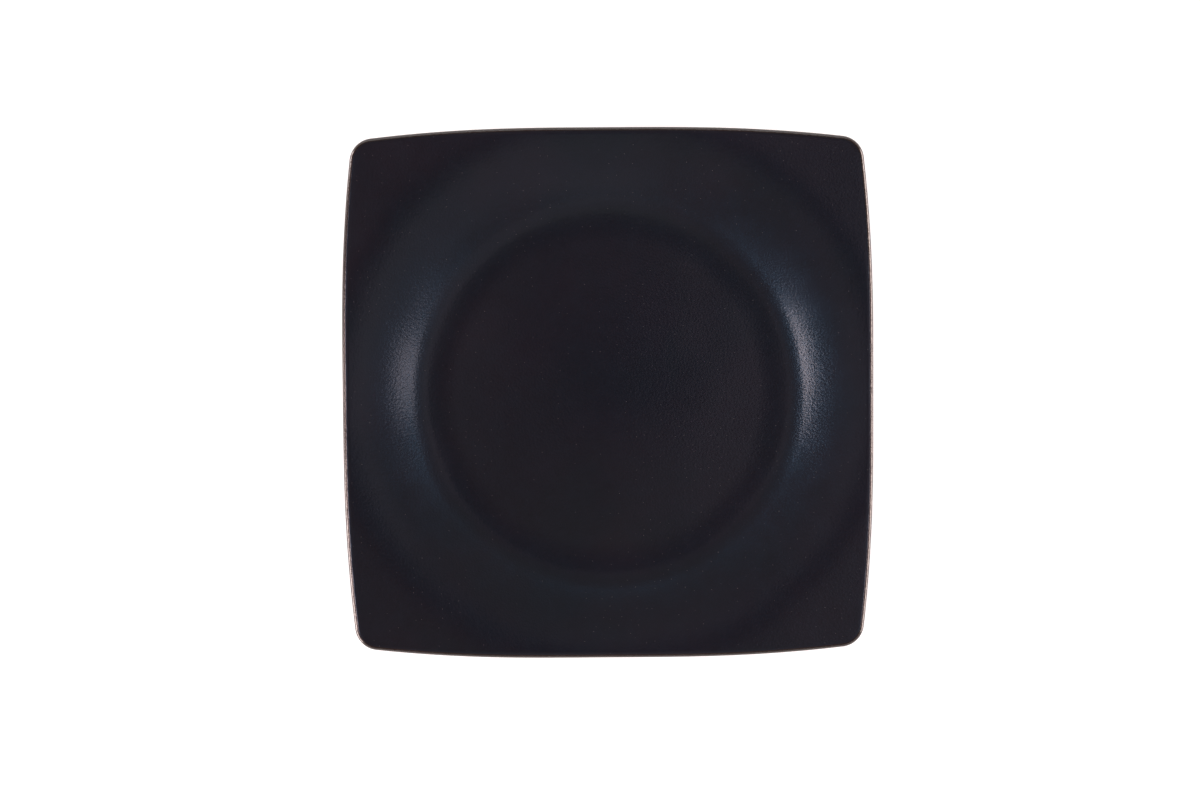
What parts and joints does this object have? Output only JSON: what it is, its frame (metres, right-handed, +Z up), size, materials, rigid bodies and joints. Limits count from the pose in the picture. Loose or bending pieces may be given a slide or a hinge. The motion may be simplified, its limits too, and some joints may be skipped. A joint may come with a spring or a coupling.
{
  "type": "square dinner plate",
  "caption": "Square glazed stoneware dinner plate with bowed sides, rounded corners, a round well, a domed rim that climbs to the corners and a foot ring.",
  "frame": {"origin": "centre of the foot ring's contact plane, under the middle of the well", "axes": "+Z up out of the well; +X and +Y towards the middles of two neighbouring sides"},
  "size_m": [0.267, 0.267, 0.0306],
  "materials": {
    "clay": "matte",
    "face_glaze": "satin",
    "underside_glaze": "satin"
  },
  "bodies": {
    "root": {"clay_body": "clay", "foot_ring": "clay", "face_glaze": "face_glaze", "underside_glaze": "underside_glaze", "foot_well_glaze": "underside_glaze"}
  },
  "joints": []
}
